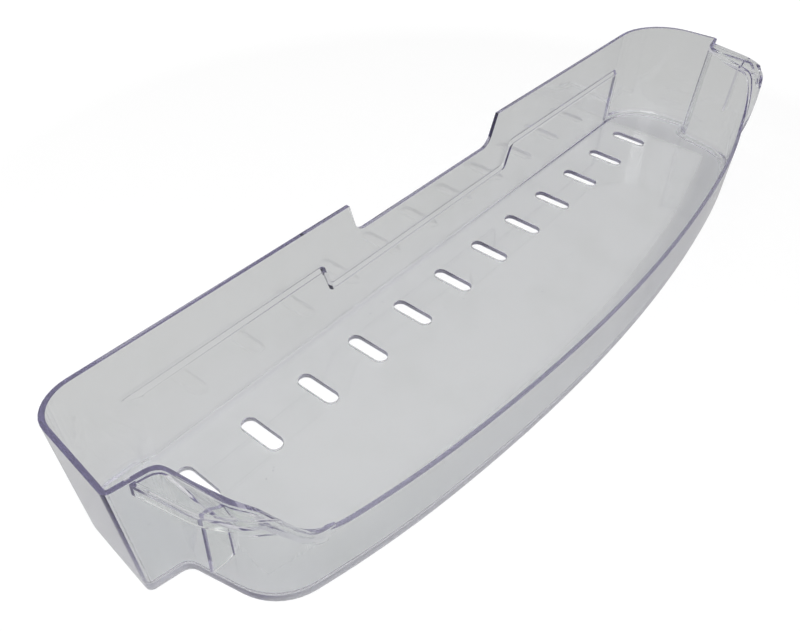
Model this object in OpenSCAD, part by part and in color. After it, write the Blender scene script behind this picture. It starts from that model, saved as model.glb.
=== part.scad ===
// Clear moulded door shelf for a refrigerator: a long one-piece tray with a high back wall,
// a low bowed front wall, a row of drain slots and a hooded boss pocket at each end.
// The tray lies along X, and its low front wall faces -Y. The origin is in the plane of the
// floor's underside, half way between the ends and half way from the back to the front.

/* [Tray] */
// Length over the tops of the end walls, at their front posts
shelf_len = 486; // [470:1:510]
// Depth from the back wall to the middle of the front wall
shelf_d = 118; // [112:1:126]
// Height of the back wall and of the end walls
shelf_h = 64.5; // [60:0.5:75]
// Height of the front wall
front_h = 33.5; // [31:0.5:38]
// Thickness of the walls
wall_t = 2; // [1.6:0.1:2.6]
// Thickness of the floor
floor_t = 2.5; // [2:0.1:3.5]
// Radius inside the tray where the walls meet the floor
floor_r = 4.5; // [2:0.5:6]
// Radius outside the tray where the walls meet the floor
foot_r = 2.5; // [1:0.5:6]

/* [End walls] */
// Depth of each end wall, from the back wall to its front post
end_d = 50.5; // [46:0.5:54]
// How far each end wall leans out over its full height
end_lean = 5; // [2:0.5:8]
// How much nearer the middle each end wall stands at the back than at its post
end_taper = 4.6; // [1:0.2:8]
// Radius of the upright corner between the back wall and the left end wall
left_back_r = 16; // [8:1:24]
// Radius of the upright corner between the back wall and the right end wall
right_back_r = 35; // [12:1:38]
// Radius of the front posts
post_r = 2.8; // [1:0.2:4]

/* [Front wall] */
// Radius of the middle stretch of the front wall
front_r = 968; // [900:1:1100]
// Length of that middle stretch, to each side of the middle
front_mid = 134; // [80:1:160]
// Radius of the front wall beyond the middle stretch
front_side_r = 515; // [450:1:650]
// Radius of the front corners
front_corner_r = 26; // [20:1:30]

/* [Boss pockets] */
// Step in from the post to the inner corner of the pocket
pocket_w = 16; // [13:0.5:19]
// How much further forward the inner corner stands than the post
pocket_skew = 3; // [1:0.5:5]
// Radius of the inner corner of the pocket
pocket_r = 5; // [3:0.5:7]
// Angle by which the pocket's side wall runs towards the middle
pocket_angle = 12.4; // [8:0.2:15]

/* [Hoods] */
// Distance from the post to where the hood leaves the front wall
hood_len = 48; // [45:0.5:52]
// Angle at which the hood leaves the front wall
hood_angle = 4.2; // [3:0.1:7]
// Radius of the hood's outer front corner
hood_r = 32; // [20:1:36]
// Thickness of the hood
hood_t = 2; // [1.4:0.1:2.6]
// Distance of the hood below the rim
hood_drop = 1.2; // [0.4:0.1:2]
// How far the hood's outer lip stands above the rim
lip_h = 1; // [0.4:0.1:2]
// How far that lip stays below the top of the end wall
lip_gap = 0.5; // [0.2:0.1:2]
// Height of the skirt, from the top of that lip to its lower edge
skirt_h = 7; // [5:0.5:10]
// Thickness of the skirt
skirt_t = 1.8; // [1.2:0.1:2.4]
// Distance of the stiffening rib from the back wall
rib_y = 76; // [72:0.5:80]
// Height of the rib's lower edge above the underside of the floor
rib_z = 30; // [20:0.5:38]
// Thickness of the rib
rib_t = 1.4; // [1:0.1:2.4]

/* [Front rim] */
// Distance from the post at which the rim of the side wall starts to fall to the front
fall_in = 23.5; // [21:0.5:25]
// Length over which it falls
fall_w = 17.8; // [14:0.2:22]
// How far the rim of the side wall stays below the top of the end wall
fall_top = 3.5; // [1.5:0.1:5]
// Radius of the rim at the top of the fall
fall_high_r = 9; // [5:0.5:9]
// Radius of the rim at the foot of the fall
fall_low_r = 24; // [12:1:28]
// Distance from the post at which the rim steps up to the end wall's height
step_in = 18.2; // [17:0.1:20]
// Length over which it steps up
step_w = 4.2; // [3:0.1:6]
// Radius of the rim at the foot of that step
step_r = 3; // [1:0.5:4]

/* [Notch] */
// Distance of the middle of the notch from the middle of the shelf
notch_x = -14.3; // [-30:0.1:30]
// Width of the notch at the top of the back wall
notch_w = 123.8; // [110:0.2:150]
// Width of the notch at its bottom
notch_low_w = 111.4; // [80:0.2:112]
// Height of the bottom of the notch above the underside of the floor
notch_z = 47; // [44:0.5:52]
// Radius of the bottom corners of the notch
notch_r = 8; // [3:0.5:8]

/* [Back panel] */
// Distance of the stepped panel from the foot of the left end wall
panel_left_gap = 24.4; // [22:0.2:50]
// Distance of the stepped panel from the foot of the right end wall
panel_right_gap = 31.4; // [31:0.2:60]
// How far the panel steps into the tray
panel_step = 1.8; // [1:0.1:2.5]
// Height of the panel's ledge above the underside of the floor
ledge_z = 41; // [38:0.5:43]
// Height of the ledge under the notch
ledge_low_z = 27; // [20:0.5:29]
// Distance sideways from the line of the notch to where the ledge drops
ledge_gap = 26; // [16:0.5:32]
// Radius of the ledge's corners
ledge_r = 4; // [2:0.5:5]

/* [Slots] */
// Number of drain slots
slot_count = 12; // [5:1:12]
// Distance from one slot to the next
slot_pitch = 35; // [28:0.5:36]
// Distance of the middle of the row of slots from the middle of the shelf
slot_x = -4; // [-8:0.5:6]
// Distance of the slots' middles from the back wall
slot_y = 27.8; // [24:0.2:34]
// Length of each slot
slot_len = 22.8; // [14:0.2:28]
// Width of each slot
slot_w = 7.6; // [5:0.1:9]

/* [Hidden] */
// Room past a surface that a cut runs through
over = 1;
// Smallest radius left on a corner that an inner outline sharpens
least_r = 0.3;
// Numbers of flats along the bowed front, a corner, a small fillet and a bend of the rim
flat_n = 8;
corner_n = 9;
fillet_n = 5;
bend_n = 10;

post_x = shelf_len / 2 - end_lean;
back_x = post_x - end_taper;
inner_x = post_x - pocket_w;
inner_y = -end_d - pocket_skew;
end_turn = 90 + atan(end_taper / end_d);
return_turn = atan(pocket_skew / pocket_w);
side_turn = 90 - pocket_angle;

// Centres of the front wall's two arcs, and of the corner that joins it to the pocket's side wall
mid_c = [0, front_r - shelf_d];
mid_turn = asin(front_mid / front_r);
side_c = mid_c + (front_r - front_side_r) * [sin(mid_turn), -cos(mid_turn)];
side_way = [-sin(pocket_angle), -cos(pocket_angle)];
side_in = [-cos(pocket_angle), sin(pocket_angle)];
side_from = [inner_x, inner_y] + front_corner_r * side_in - side_c;
side_reach = front_side_r - front_corner_r;
side_part = side_from * side_way;
side_run = sqrt(pow(side_part, 2) - side_from * side_from + pow(side_reach, 2)) - side_part;
corner_c = side_c + side_from + side_run * side_way;
corner_turn = atan2(corner_c.x - side_c.x, side_c.y - corner_c.y);
corner_x = side_c.x + front_side_r * sin(corner_turn);

// Arc round centre c, its angles counted from the side that faces -Y
function arc(c, r, from, to, n) =
    [for (i = [0:n]) let (a = from + (to - from) * i / n) c + r * [sin(a), -cos(a)]];

// Rounded corner at v between runs at the angles from and to, after both moved left by d
function corner(v, from, to, r, d, n) =
    let (turn = to - from,
        side = sign(turn),
        left1 = [-sin(from), cos(from)],
        left2 = [-sin(to), cos(to)],
        moved = v + d * (left1 + left2) / (1 + left1 * left2),
        rr = max(r - side * d, least_r),
        start = moved - rr * tan(abs(turn) / 2) * [cos(from), sin(from)],
        c = start + side * rr * left1)
    [for (i = [0:n]) let (a = from + turn * i / n) c - side * rr * [-sin(a), cos(a)]];

// Where a line through p at angle a meets a line through q at angle b
function meet(p, a, q, b) =
    let (way1 = [cos(a), sin(a)], way2 = [cos(b), sin(b)])
    p + cross(q - p, way2) / cross(way1, way2) * way1;

function turned_back(points) = [for (i = [len(points) - 1:-1:0]) points[i]];
function mirrored(points) = [for (p = turned_back(points)) [-p.x, p.y]];
function but_first(points) = [for (i = [1:len(points) - 1]) points[i]];

// Right half of the tray's outline, drawn in by d, from the middle of the front to the back
function half(d, back_r) = concat(
    arc(mid_c, front_r - d, 0, mid_turn, flat_n),
    but_first(arc(side_c, front_side_r - d, mid_turn, corner_turn, flat_n)),
    but_first(arc(corner_c, front_corner_r - d, corner_turn, side_turn, corner_n)),
    corner([inner_x, inner_y], side_turn, return_turn, pocket_r, d, fillet_n),
    corner([post_x, -end_d], return_turn, end_turn, post_r, d, fillet_n),
    corner([back_x, 0], end_turn, 180, back_r, d, corner_n));

// Whole outline at height z: the ends lean out, and the lean fades out at the front corners
function outline(d) = concat(half(d, right_back_r), mirrored(but_first(half(d, left_back_r))));
function lean_share(x) = max(0, min(1, (abs(x) - corner_x) / (back_x - corner_x)));
function ring(d, z) =
    [for (p = outline(d)) [p.x + sign(p.x) * end_lean * lean_share(p.x) * z / shelf_h, p.y, z]];

// Skin of the tray's form, drawn in by d: a fillet of radius r from the floor at z0, then walls
function skin(d, r, z0, top) = concat(
    [for (i = [0:fillet_n]) let (a = 90 * i / fillet_n)
        ring(d + r * (1 - sin(a)), z0 + r * (1 - cos(a)))],
    [ring(d, top)]);

module loft(rings) {
    n = len(rings[0]);
    last = len(rings) - 1;
    polyhedron(
        points = [for (one = rings) each one],
        faces = concat(
            [[for (i = [0:n - 1]) i]],
            [for (k = [0:last - 1], i = [0:n - 1])
                let (j = (i + 1) % n)
                each [[k * n + i, (k + 1) * n + i, (k + 1) * n + j],
                    [k * n + i, (k + 1) * n + j, k * n + j]]],
            [[for (i = [n - 1:-1:0]) last * n + i]]));
}

// Extrudes a shape drawn in X and Z, from y = front to y = back
module upright(front, back)
    translate([0, back, 0])
        rotate([90, 0, 0])
            linear_extrude(back - front)
                children();

// Right half of the rim, seen from the front and moved up by d at right angles to itself: from the
// front wall's height up along the side wall, and up the step to the height of the end wall
wide_x = post_x + end_lean + over;
fall_from = [post_x - fall_in, shelf_h - fall_top];
fall_to = [post_x - fall_in - fall_w, front_h];
fall_turn = atan((fall_from.y - fall_to.y) / fall_w);
step_from = [post_x - step_in, shelf_h - fall_top];
step_turn = atan(fall_top / step_w);
function rim(d) = concat(
    corner(fall_to, 0, fall_turn, fall_low_r, d, bend_n),
    corner(fall_from, fall_turn, 0, fall_high_r, d, bend_n),
    corner(step_from, 0, step_turn, step_r, d, fillet_n),
    corner(step_from + [step_w, fall_top], step_turn, 0, step_r, d, fillet_n),
    [[wide_x, shelf_h + d]]);

// Everything above the rim, which is level all along the end walls and the back wall
module above_rim() {
    top = shelf_h + 2 * over;
    upright(-shelf_d - over, -end_d + wall_t + over)
        polygon(concat(rim(0), [[wide_x, top], [-wide_x, top]], mirrored(rim(0))));
    upright(-end_d, over)
        polygon([[-wide_x, shelf_h], [wide_x, shelf_h], [wide_x, top], [-wide_x, top]]);
}

// The rim's line over the hood, which starts from the front wall
hood_from = post_x - hood_len;
function hood_rim(d) = concat([[hood_from - 2 * hood_t, front_h + d]], rim(d));

// Outer edge of the right hood, seen from above and moved in by d: it runs from the front wall
// round a corner and then parallel to the pocket's side wall, back to the post
hood_start = [hood_from, side_c.y - sqrt(pow(front_side_r, 2) - pow(hood_from - side_c.x, 2))];
hood_end = [post_x - post_r, -end_d + wall_t / 2];
function hood_edge(d) = concat(
    [hood_start + (d + wall_t / 2) * [-sin(hood_angle), cos(hood_angle)]],
    corner(meet(hood_start, hood_angle, hood_end, side_turn), hood_angle, side_turn,
        hood_r, d, corner_n),
    [hood_end + d * [-sin(side_turn), cos(side_turn)]]);

// The hood's plan also covers a part of the tray, which the tray's hollow then takes away
module hood_plan(d) polygon(concat(hood_edge(d), [[hood_from, hood_end.y]]));

// Hood over the right boss pocket, with the skirt along its edge and the rib under it
module pocket_hood() {
    top = hood_rim(-hood_drop);
    under = hood_rim(-hood_drop - hood_t);
    lip = hood_rim(lip_h);
    rib_foot = inner_x - pocket_w / 2;
    intersection() {
        linear_extrude(shelf_h) hood_plan(0);
        upright(-shelf_d, hood_end.y) polygon(concat(turned_back(top), under));
    }
    intersection() {
        linear_extrude(shelf_h - lip_gap)
            polygon(concat(hood_edge(0), turned_back(hood_edge(skirt_t))));
        upright(-shelf_d, hood_end.y)
            polygon(concat(turned_back(lip), [for (p = lip) p - [0, skirt_h]]));
    }
    intersection() {
        linear_extrude(shelf_h) hood_plan(0.9 * skirt_t);
        upright(-rib_y - rib_t / 2, -rib_y + rib_t / 2)
            polygon(concat(
                [[rib_foot, rib_z], [wide_x, rib_z]],
                [for (p = turned_back(under)) if (p.x > rib_foot) p + [0, hood_t / 2]]));
    }
}

// Half the width of the ledge's dip at height z, parallel to the sides of the notch
notch_slope = (notch_w - notch_low_w) / 2 / (shelf_h - notch_z);
notch_turn = atan(notch_slope);
panel_left = back_x - panel_left_gap;
panel_right = back_x - panel_right_gap;
function dip_half(z) = notch_low_w / 2 - (notch_z - z) * notch_slope + ledge_gap;

// Stepped panel of the back wall, drawn in by d, down to the height low
module panel(d, low)
    polygon(concat(
        [[-panel_left + d, low], [panel_right - d, low]],
        corner([panel_right, ledge_z], 90, 180, ledge_r, d, fillet_n),
        corner([notch_x + dip_half(ledge_z), ledge_z], 180, 270 - notch_turn, ledge_r, d, fillet_n),
        corner([notch_x + dip_half(ledge_low_z), ledge_low_z], 270 - notch_turn, 180,
            ledge_r, d, fillet_n),
        corner([notch_x - dip_half(ledge_low_z), ledge_low_z], 180, 90 + notch_turn,
            ledge_r, d, fillet_n),
        corner([notch_x - dip_half(ledge_z), ledge_z], 90 + notch_turn, 180, ledge_r, d, fillet_n),
        corner([-panel_left, ledge_z], 180, 270, ledge_r, d, fillet_n)));

// Notch in the top of the back wall
module notch()
    upright(-wall_t - panel_step - over, over)
        polygon(concat(
            corner([notch_x - notch_low_w / 2, notch_z], notch_turn - 90, 0, notch_r, 0, corner_n),
            corner([notch_x + notch_low_w / 2, notch_z], 0, 90 - notch_turn, notch_r, 0, corner_n),
            [[notch_x + notch_w / 2 + over * notch_slope, shelf_h + over],
            [notch_x - notch_w / 2 - over * notch_slope, shelf_h + over]]));

module slots()
    for (i = [0:slot_count - 1])
        translate([slot_x + (i - (slot_count - 1) / 2) * slot_pitch, -slot_y, -over])
            linear_extrude(floor_t + 2 * over) {
                square([slot_w, slot_len - slot_w], center = true);
                for (s = [-1, 1])
                    translate([0, s * (slot_len - slot_w) / 2]) circle(d = slot_w, $fn = 48);
            }

// All sub-parts are drawn with the back of the back wall at y = 0
module door_shelf()
    color([0.80, 0.82, 0.83, 0.45])
        translate([0, shelf_d / 2, 0])
            difference() {
                union() {
                    difference() {
                        union() {
                            difference() {
                                loft(skin(0, foot_r, 0, shelf_h + over));
                                above_rim();
                            }
                            pocket_hood();
                            mirror([1, 0, 0]) pocket_hood();
                        }
                        loft(skin(wall_t, floor_r, floor_t, shelf_h + over));
                    }
                    upright(-wall_t - panel_step, -wall_t / 2) panel(0, floor_t / 2);
                }
                upright(-panel_step, over) panel(wall_t, -over);
                notch();
                slots();
            }

door_shelf();
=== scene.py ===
# Clear moulded door shelf on a pale studio floor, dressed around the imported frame
import math
import bmesh
import bpy
from mathutils import Euler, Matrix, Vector


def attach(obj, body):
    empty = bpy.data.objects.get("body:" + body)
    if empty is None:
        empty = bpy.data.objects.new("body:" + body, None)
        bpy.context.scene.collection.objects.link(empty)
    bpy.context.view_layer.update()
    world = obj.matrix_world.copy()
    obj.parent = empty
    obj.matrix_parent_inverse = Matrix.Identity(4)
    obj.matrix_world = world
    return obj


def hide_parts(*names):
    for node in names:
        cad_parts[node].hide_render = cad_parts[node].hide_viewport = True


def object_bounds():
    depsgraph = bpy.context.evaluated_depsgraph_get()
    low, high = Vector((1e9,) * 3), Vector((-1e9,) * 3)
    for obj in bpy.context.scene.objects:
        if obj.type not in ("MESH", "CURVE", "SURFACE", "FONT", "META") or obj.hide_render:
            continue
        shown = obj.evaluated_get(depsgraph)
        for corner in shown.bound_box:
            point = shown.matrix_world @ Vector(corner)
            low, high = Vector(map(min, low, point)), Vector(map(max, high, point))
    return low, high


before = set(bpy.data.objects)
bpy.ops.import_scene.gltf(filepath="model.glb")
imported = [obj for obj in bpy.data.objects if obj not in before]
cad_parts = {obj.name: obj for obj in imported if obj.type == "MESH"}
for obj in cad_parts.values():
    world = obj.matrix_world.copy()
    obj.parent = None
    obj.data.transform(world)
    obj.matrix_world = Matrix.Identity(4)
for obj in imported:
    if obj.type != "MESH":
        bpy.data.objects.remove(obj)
cadLow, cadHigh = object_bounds()
scene = bpy.context.scene
scene.view_settings.view_transform = "Standard"
print("frame loaded")

viewpoint = {
    "place": (-0.3010, -0.1400, 0.2659),  # metres, in front of the left end and above it
    "turn": (48.17, -2.81, -51.28),  # degrees, about X, Y and Z
    "lens": 35.154,  # mm on the sensor below
    "sensor": 36.0,
    "nearest": 0.01,  # metres, between which things are seen
    "farthest": 20.0,
    "bounces": 96,  # light runs down inside the walls before it leaves them
}


def makeCamera():
    data = bpy.data.cameras.new("photoCamera")
    data.sensor_fit = "HORIZONTAL"
    data.sensor_width = viewpoint["sensor"]
    data.lens = viewpoint["lens"]
    data.clip_start = viewpoint["nearest"]
    data.clip_end = viewpoint["farthest"]
    camera = bpy.data.objects.new("photoCamera", data)
    camera.location = viewpoint["place"]
    camera.rotation_euler = Euler([math.radians(a) for a in viewpoint["turn"]])
    scene.collection.objects.link(camera)
    scene.camera = camera
    for kind in ("max_bounces", "glossy_bounces", "transmission_bounces"):
        setattr(scene.cycles, kind, viewpoint["bounces"])


makeCamera()
print("camera placed")


def link(tree, start, end):
    tree.links.new(start, end)


# Gives a socket a plain value, or links another socket to it
def feed(tree, socket, value):
    if isinstance(value, bpy.types.NodeSocket):
        link(tree, value, socket)
    else:
        socket.default_value = value


def newNode(tree, kind, **values):
    node = tree.nodes.new(kind)
    for name, value in values.items():
        setattr(node, name, value)
    return node


def noiseOn(tree, place, scale, detail):
    noise = newNode(tree, "ShaderNodeTexNoise")
    noise.inputs["Scale"].default_value = scale
    noise.inputs["Detail"].default_value = detail
    link(tree, place, noise.inputs["Vector"])
    return noise.outputs["Fac"]


# Maps a value from one span to another and holds it at their ends
def spread(tree, value, fromSpan, toSpan):
    level = newNode(tree, "ShaderNodeMapRange")
    feed(tree, level.inputs["Value"], value)
    for side, start, end in (("Min", fromSpan[0], toSpan[0]), ("Max", fromSpan[1], toSpan[1])):
        feed(tree, level.inputs["From " + side], start)
        feed(tree, level.inputs["To " + side], end)
    return level.outputs["Result"]


def combine(tree, first, second, operation):
    both = newNode(tree, "ShaderNodeMath", operation=operation)
    link(tree, first, both.inputs[0])
    link(tree, second, both.inputs[1])
    return both.outputs[0]


# The Mix node's colours are its sockets 6 and 7, and its result is output 2
def mixColours(tree, amount, first, second):
    both = newNode(tree, "ShaderNodeMix", data_type="RGBA")
    link(tree, amount, both.inputs[0])
    feed(tree, both.inputs[6], first)
    feed(tree, both.inputs[7], second)
    return both.outputs[2]


haze = {
    "size": 9.0,  # patches to the metre
    "detail": 6,
    "noise": (0.45, 0.7),  # noise at which the haze starts and at which it is full
    "rough": (0.03, 0.11),  # roughness of the clean plastic and of the haziest patches
}
scuff = {
    "bowMiddle": (0, 0.8505, 0),  # metres, the centre of the front's bow
    "bow": (0.885, 0.905),  # metres from there, where the scuffing starts and where it is full
    "ends": (0.195, 0.225),  # the same from the middle of the shelf towards its ends
    "underRough": 0.85,  # roughness of the scuffed underside
    "edge": (0.00005, 0.0003),  # metres up, where the foot's edge starts and where it is full
    "edgeRough": 1.0,  # round the foot's edge and in the slots
    "fade": (0.0016, 0.0023),  # metres up, between which the scuffing fades out
}
dirt = {
    "blotchSize": 26.0,  # patches to the metre
    "blotchDetail": 4,
    "blotchNoise": (0.5, 0.68),  # noise at which a blotch starts and at which it is full
    "blotchPale": (0.962, 0.978, 0.954, 1),
    "speckSize": 150.0,  # places to the metre where a speck may lie
    "speckReach": (0.05, 0.09),  # where a speck starts to fade and where it ends, in such places
    "speckShade": (0.72, 0.73, 0.74, 1),
    "patchSize": 35.0,  # patches to the metre that hold specks or hold none
    "patchDetail": 2,
    "patchNoise": (0.61, 0.64),
}
plastic = {
    "clean": (0.986, 1.0, 0.980, 1),
    "bend": 1.57,  # index of refraction of clear polystyrene
    "depthColour": (0.60, 0.565, 0.735, 1),  # violet that shows where the way through is long
    "depthDensity": 45.0,  # to the metre
    "shadow": (0.93, 0.94, 0.95, 1),  # how much light passes on to the floor
}


# Scuffing where the shelf is pushed along: on the underside beside the outline, round the foot's
# edge, and as high as that in the slots
def footRoughness(tree, place):
    apart = newNode(tree, "ShaderNodeSeparateXYZ")
    link(tree, place, apart.inputs[0])
    fromBow = newNode(tree, "ShaderNodeVectorMath", operation="DISTANCE")
    fromBow.inputs[1].default_value = scuff["bowMiddle"]
    link(tree, place, fromBow.inputs[0])
    front = spread(tree, fromBow.outputs["Value"], scuff["bow"], (0, scuff["underRough"]))
    aside = newNode(tree, "ShaderNodeMath", operation="ABSOLUTE")
    link(tree, apart.outputs["X"], aside.inputs[0])
    ends = spread(tree, aside.outputs[0], scuff["ends"], (0, scuff["underRough"]))
    edge = spread(tree, apart.outputs["Z"], scuff["edge"], (0, scuff["edgeRough"]))
    low = spread(tree, apart.outputs["Z"], scuff["fade"], (1, 0))
    under = combine(tree, combine(tree, front, ends, "MAXIMUM"), edge, "MAXIMUM")
    return combine(tree, under, low, "MULTIPLY")


# Clean plastic with faint blotches and a few specks of dust
def dirtyColour(tree, place):
    blotchNoise = noiseOn(tree, place, dirt["blotchSize"], dirt["blotchDetail"])
    blotch = spread(tree, blotchNoise, dirt["blotchNoise"], (0, 1))
    blotched = mixColours(tree, blotch, plastic["clean"], dirt["blotchPale"])
    specks = newNode(tree, "ShaderNodeTexVoronoi")
    specks.inputs["Scale"].default_value = dirt["speckSize"]
    link(tree, place, specks.inputs["Vector"])
    near = spread(tree, specks.outputs["Distance"], dirt["speckReach"], (1, 0))
    patchNoise = noiseOn(tree, place, dirt["patchSize"], dirt["patchDetail"])
    patch = spread(tree, patchNoise, dirt["patchNoise"], (0, 1))
    return mixColours(tree, combine(tree, near, patch, "MULTIPLY"), blotched, dirt["speckShade"])


def clearPlastic():
    material = bpy.data.materials.new("clearPlastic")
    material.use_nodes = True
    tree = material.node_tree
    tree.nodes.clear()
    out = newNode(tree, "ShaderNodeOutputMaterial")
    body = newNode(tree, "ShaderNodeBsdfPrincipled")
    body.inputs["IOR"].default_value = plastic["bend"]
    body.inputs["Transmission Weight"].default_value = 1
    place = newNode(tree, "ShaderNodeTexCoord").outputs["Object"]
    hazeNoise = noiseOn(tree, place, haze["size"], haze["detail"])
    wiped = spread(tree, hazeNoise, haze["noise"], haze["rough"])
    rough = combine(tree, wiped, footRoughness(tree, place), "MAXIMUM")
    link(tree, rough, body.inputs["Roughness"])
    link(tree, dirtyColour(tree, place), body.inputs["Base Color"])
    # violet depth inside the walls, and a light shadow
    depth = newNode(tree, "ShaderNodeVolumeAbsorption")
    depth.inputs["Color"].default_value = plastic["depthColour"]
    depth.inputs["Density"].default_value = plastic["depthDensity"]
    rays = newNode(tree, "ShaderNodeLightPath")
    through = newNode(tree, "ShaderNodeBsdfTransparent")
    through.inputs["Color"].default_value = plastic["shadow"]
    either = newNode(tree, "ShaderNodeMixShader")
    link(tree, rays.outputs["Is Shadow Ray"], either.inputs[0])
    link(tree, body.outputs[0], either.inputs[1])
    link(tree, through.outputs[0], either.inputs[2])
    link(tree, either.outputs[0], out.inputs["Surface"])
    link(tree, depth.outputs[0], out.inputs["Volume"])
    return material


shelf = {
    "joinWithin": 0.00001,  # metres, joins the node's loose triangles
    "levelWithin": 0.00002,  # metres, for corners that belong to a face of the floor
    "faceWithin": 0.000001,  # the same once they are level
    "onWithin": 0.00005,  # metres, for edges that lie on a face
    "flatWithin": 0.2,  # degrees, for triangles that lie in one plane
    "smoothWithin": 32.0,  # degrees, a bend this small is a curve
    "backOut": 0.0590,  # metres along Y, the outside of the back wall
    "ledgeOut": 0.0552,  # the panel's face in the tray
    "wallIn": 0.0570,  # the back wall's face in the tray
    "recessIn": 0.0572,  # the face of the recess behind the panel
    "floorTop": 0.0025,  # metres up, the floor's upper face
}
ledge = {
    "round": 0.0007,  # metres, rounding of its edges
    "roundSteps": 3,
    "sharp": 30.0,  # degrees, from which an edge is rounded
    "step": 0.0018,  # metres that the panel stands in, and the recess behind it
    "nearShare": 0.01,  # share of that step within which a corner lies on one of its two faces
    "drop": 0.0022,  # metres that the ledge slopes down over that step
    "dropFrom": 0.020,  # metres up, above which corners belong to the ledge
    "reach": 0.2095,  # metres from the middle, past which there is no panel
    "end": -0.2045,  # metres along X, left of which the panel's end is a long ramp
    "ramp": 0.0090,
    "foot": 0.0068,  # metres up, the lowest and highest edges that are rounded
    "top": 0.0425,
}
slots = {
    "round": 0.0004,  # metres, rounding of their edges
    "roundSteps": 2,
    "sharp": 60.0,  # degrees, from which an edge is rounded
    "front": 0.015,  # metres along Y, the strip that holds the slots
    "back": 0.050,
}


def sharpEdges(form, degrees):
    return [e for e in form.edges if e.calc_face_angle(0) > math.radians(degrees)]


def roundEdges(form, edges, width, segments):
    bmesh.ops.bevel(
        form, geom=edges, offset=width, offset_type="OFFSET", segments=segments, profile=0.5,
        affect="EDGES", clamp_overlap=True, material=-1)


def lies(value, height):
    return abs(value - height) < shelf["onWithin"]


def onLedge(edge, depth):
    return all(
        lies(v.co.y, depth) and ledge["foot"] < v.co.z < ledge["top"] for v in edge.verts)


def onSlot(edge):
    return all(
        (lies(v.co.z, shelf["floorTop"]) or lies(v.co.z, 0))
        and slots["front"] < v.co.y < slots["back"] for v in edge.verts)


# The node's floor has folded slivers at its pockets, so both its faces are filled afresh
def refill(form, height, facing):
    level = [
        f for f in form.faces
        if all(abs(v.co.z - height) < shelf["faceWithin"] for v in f.verts)]
    bmesh.ops.delete(form, geom=level, context="FACES_KEEP_BOUNDARY")
    edges = [e for e in form.edges if len(e.link_faces) == 1]
    bmesh.ops.triangle_fill(form, edges=edges, use_beauty=True, normal=(0, 0, facing))
    print("floor face at", height, "refilled within", len(edges), "edges")


def levelFloor(form):
    for corner in form.verts:
        for height in (0, shelf["floorTop"]):
            if abs(corner.co.z - height) < shelf["levelWithin"]:
                corner.co.z = height
    refill(form, shelf["floorTop"], 1)
    refill(form, 0, -1)


# The panel's ledge is a soft shoulder, the same behind as in front, and its left end fades out
def softenLedge(form):
    near = ledge["nearShare"]
    for wall in ("wallIn", "backOut"):
        for corner in form.verts:
            spot = corner.co
            share = (shelf[wall] - spot.y) / ledge["step"]
            beside = not -near < share < 1 + near
            if beside or spot.z > ledge["top"] or abs(spot.x) > ledge["reach"]:
                continue
            onFace = share > 1 - near
            if spot.x < ledge["end"] and share > near:
                spot.x += ledge["ramp"] * share
            if onFace and spot.z > ledge["dropFrom"]:
                spot.z -= ledge["drop"]


def roundLedge(form):
    for depth in ("ledgeOut", "wallIn", "recessIn", "backOut"):
        edges = [e for e in sharpEdges(form, ledge["sharp"]) if onLedge(e, shelf[depth])]
        print(depth, "edges to round:", len(edges))
        roundEdges(form, edges, ledge["round"], ledge["roundSteps"])


def roundSlots(form):
    edges = [e for e in sharpEdges(form, slots["sharp"]) if onSlot(e)]
    print("slot edges to round:", len(edges))
    roundEdges(form, edges, slots["round"], slots["roundSteps"])


def smoothShelf(form):
    bmesh.ops.triangulate(
        form, faces=[f for f in form.faces if len(f.verts) > 4],
        quad_method="BEAUTY", ngon_method="BEAUTY")
    for edge in form.edges:
        edge.smooth = edge.calc_face_angle(0) < math.radians(shelf["smoothWithin"])
    for face in form.faces:
        face.smooth = True


def makeShelf():
    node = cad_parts["door_shelf"]
    form = bmesh.new()
    form.from_mesh(node.data)
    bmesh.ops.remove_doubles(form, verts=form.verts, dist=shelf["joinWithin"])
    levelFloor(form)
    bmesh.ops.dissolve_limit(
        form, angle_limit=math.radians(shelf["flatWithin"]), verts=form.verts, edges=form.edges)
    softenLedge(form)
    roundLedge(form)
    roundSlots(form)
    smoothShelf(form)
    data = bpy.data.meshes.new("shelfBody")
    form.to_mesh(data)
    form.free()
    piece = bpy.data.objects.new("shelfBody", data)
    scene.collection.objects.link(piece)
    shading = piece.modifiers.new("evenShading", "WEIGHTED_NORMAL")
    shading.keep_sharp = True
    data.materials.append(clearPlastic())
    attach(piece, "root")
    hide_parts("door_shelf")
    return piece


shelfBody = makeShelf()
print("shelf body made,", len(shelfBody.data.polygons), "faces")

studio = {
    "floorSize": 6.0,
    "floorGap": 0.0005,  # metres below the shelf
    "floorShade": 0.30,  # lit grey of the floor, which keeps the shadow
    "floorWhite": (0.75, 1.0),  # added for the camera, under the shelf's shadow and away from it
    "shadowReach": (0.33, 0.60),  # metres from the middle, between which one turns into the other
    "floorThrough": 0.345,  # added for what shows through the plastic and in it
    "roomWhite": 1.0,
    "roomThrough": 0.68,
    "roomPlain": 0.5,
}


def greyOf(level):
    return (level, level, level, 1)


# How bright the surroundings are to the camera, through the plastic and in its gloss, and else
def backdropLevel(tree, white, through, plain):
    rays = newNode(tree, "ShaderNodeLightPath")
    inPlastic = combine(
        tree, rays.outputs["Is Glossy Ray"], rays.outputs["Is Transmission Ray"], "MAXIMUM")
    other = spread(tree, inPlastic, (0, 1), (plain, through))
    return spread(tree, rays.outputs["Is Camera Ray"], (0, 1), (other, white))


# The white that the camera sees on the floor, which is full where no shadow falls
def whiteByPlace(tree):
    place = newNode(tree, "ShaderNodeTexCoord").outputs["Object"]
    away = newNode(tree, "ShaderNodeVectorMath", operation="LENGTH")
    link(tree, place, away.inputs[0])
    return spread(tree, away.outputs["Value"], studio["shadowReach"], studio["floorWhite"])


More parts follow.
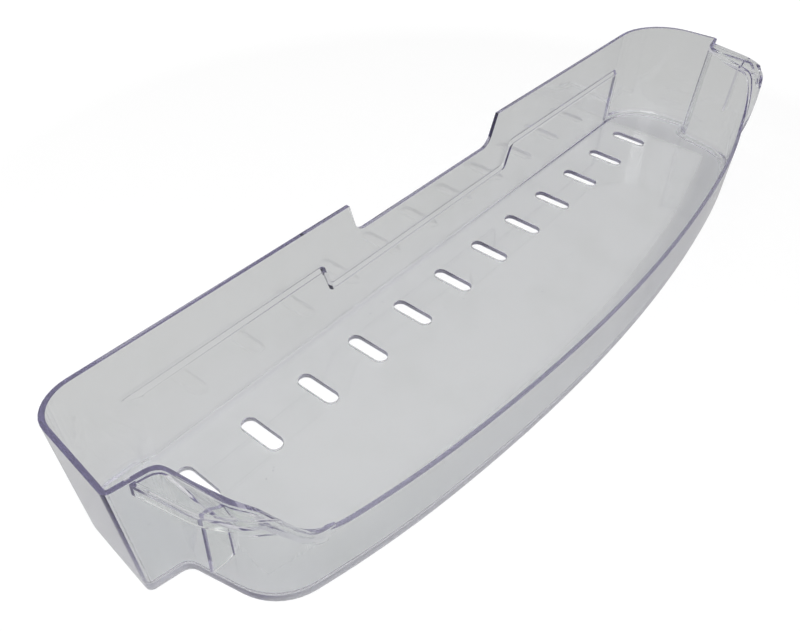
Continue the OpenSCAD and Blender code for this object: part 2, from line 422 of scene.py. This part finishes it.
def paleFloor():
    material = bpy.data.materials.new("paleFloor")
    material.use_nodes = True
    tree = material.node_tree
    tree.nodes.clear()
    out = newNode(tree, "ShaderNodeOutputMaterial")
    matt = newNode(tree, "ShaderNodeBsdfDiffuse")
    matt.inputs["Color"].default_value = greyOf(studio["floorShade"])
    glow = newNode(tree, "ShaderNodeEmission")
    level = backdropLevel(tree, whiteByPlace(tree), studio["floorThrough"], 0)
    link(tree, level, glow.inputs["Strength"])
    both = newNode(tree, "ShaderNodeAddShader")
    link(tree, matt.outputs[0], both.inputs[0])
    link(tree, glow.outputs[0], both.inputs[1])
    link(tree, both.outputs[0], out.inputs["Surface"])
    return material


def makeFloor():
    form = bmesh.new()
    bmesh.ops.create_grid(form, x_segments=1, y_segments=1, size=studio["floorSize"] / 2)
    data = bpy.data.meshes.new("floor")
    form.to_mesh(data)
    form.free()
    floor = bpy.data.objects.new("floor", data)
    floor.location.z = cadLow.z - studio["floorGap"]
    scene.collection.objects.link(floor)
    data.materials.append(paleFloor())


def makeRoom():
    world = bpy.data.worlds.new("room")
    scene.world = world
    world.use_nodes = True
    tree = world.node_tree
    tree.nodes.clear()
    out = newNode(tree, "ShaderNodeOutputWorld")
    around = newNode(tree, "ShaderNodeBackground")
    around.inputs["Color"].default_value = greyOf(1)
    level = backdropLevel(tree, studio["roomWhite"], studio["roomThrough"], studio["roomPlain"])
    link(tree, level, around.inputs["Strength"])
    link(tree, around.outputs[0], out.inputs["Surface"])


lamps = {
    "overhead": {"place": (-0.6, -0.5, 1.0), "size": 0.8, "power": 7.0},  # metres and watts
    "side": {"place": (-1.2, 0.6, 0.9), "size": 0.8, "power": 3.0},
}


def makeLamps():
    for name, lamp in lamps.items():
        data = bpy.data.lights.new(name, "AREA")
        data.size = lamp["size"]
        data.energy = lamp["power"]
        thing = bpy.data.objects.new(name, data)
        thing.location = lamp["place"]
        aim = Vector((0, 0, 0)) - thing.location
        thing.rotation_euler = aim.to_track_quat("-Z", "Y").to_euler()
        scene.collection.objects.link(thing)


makeFloor()
makeRoom()
makeLamps()
print("studio lit")
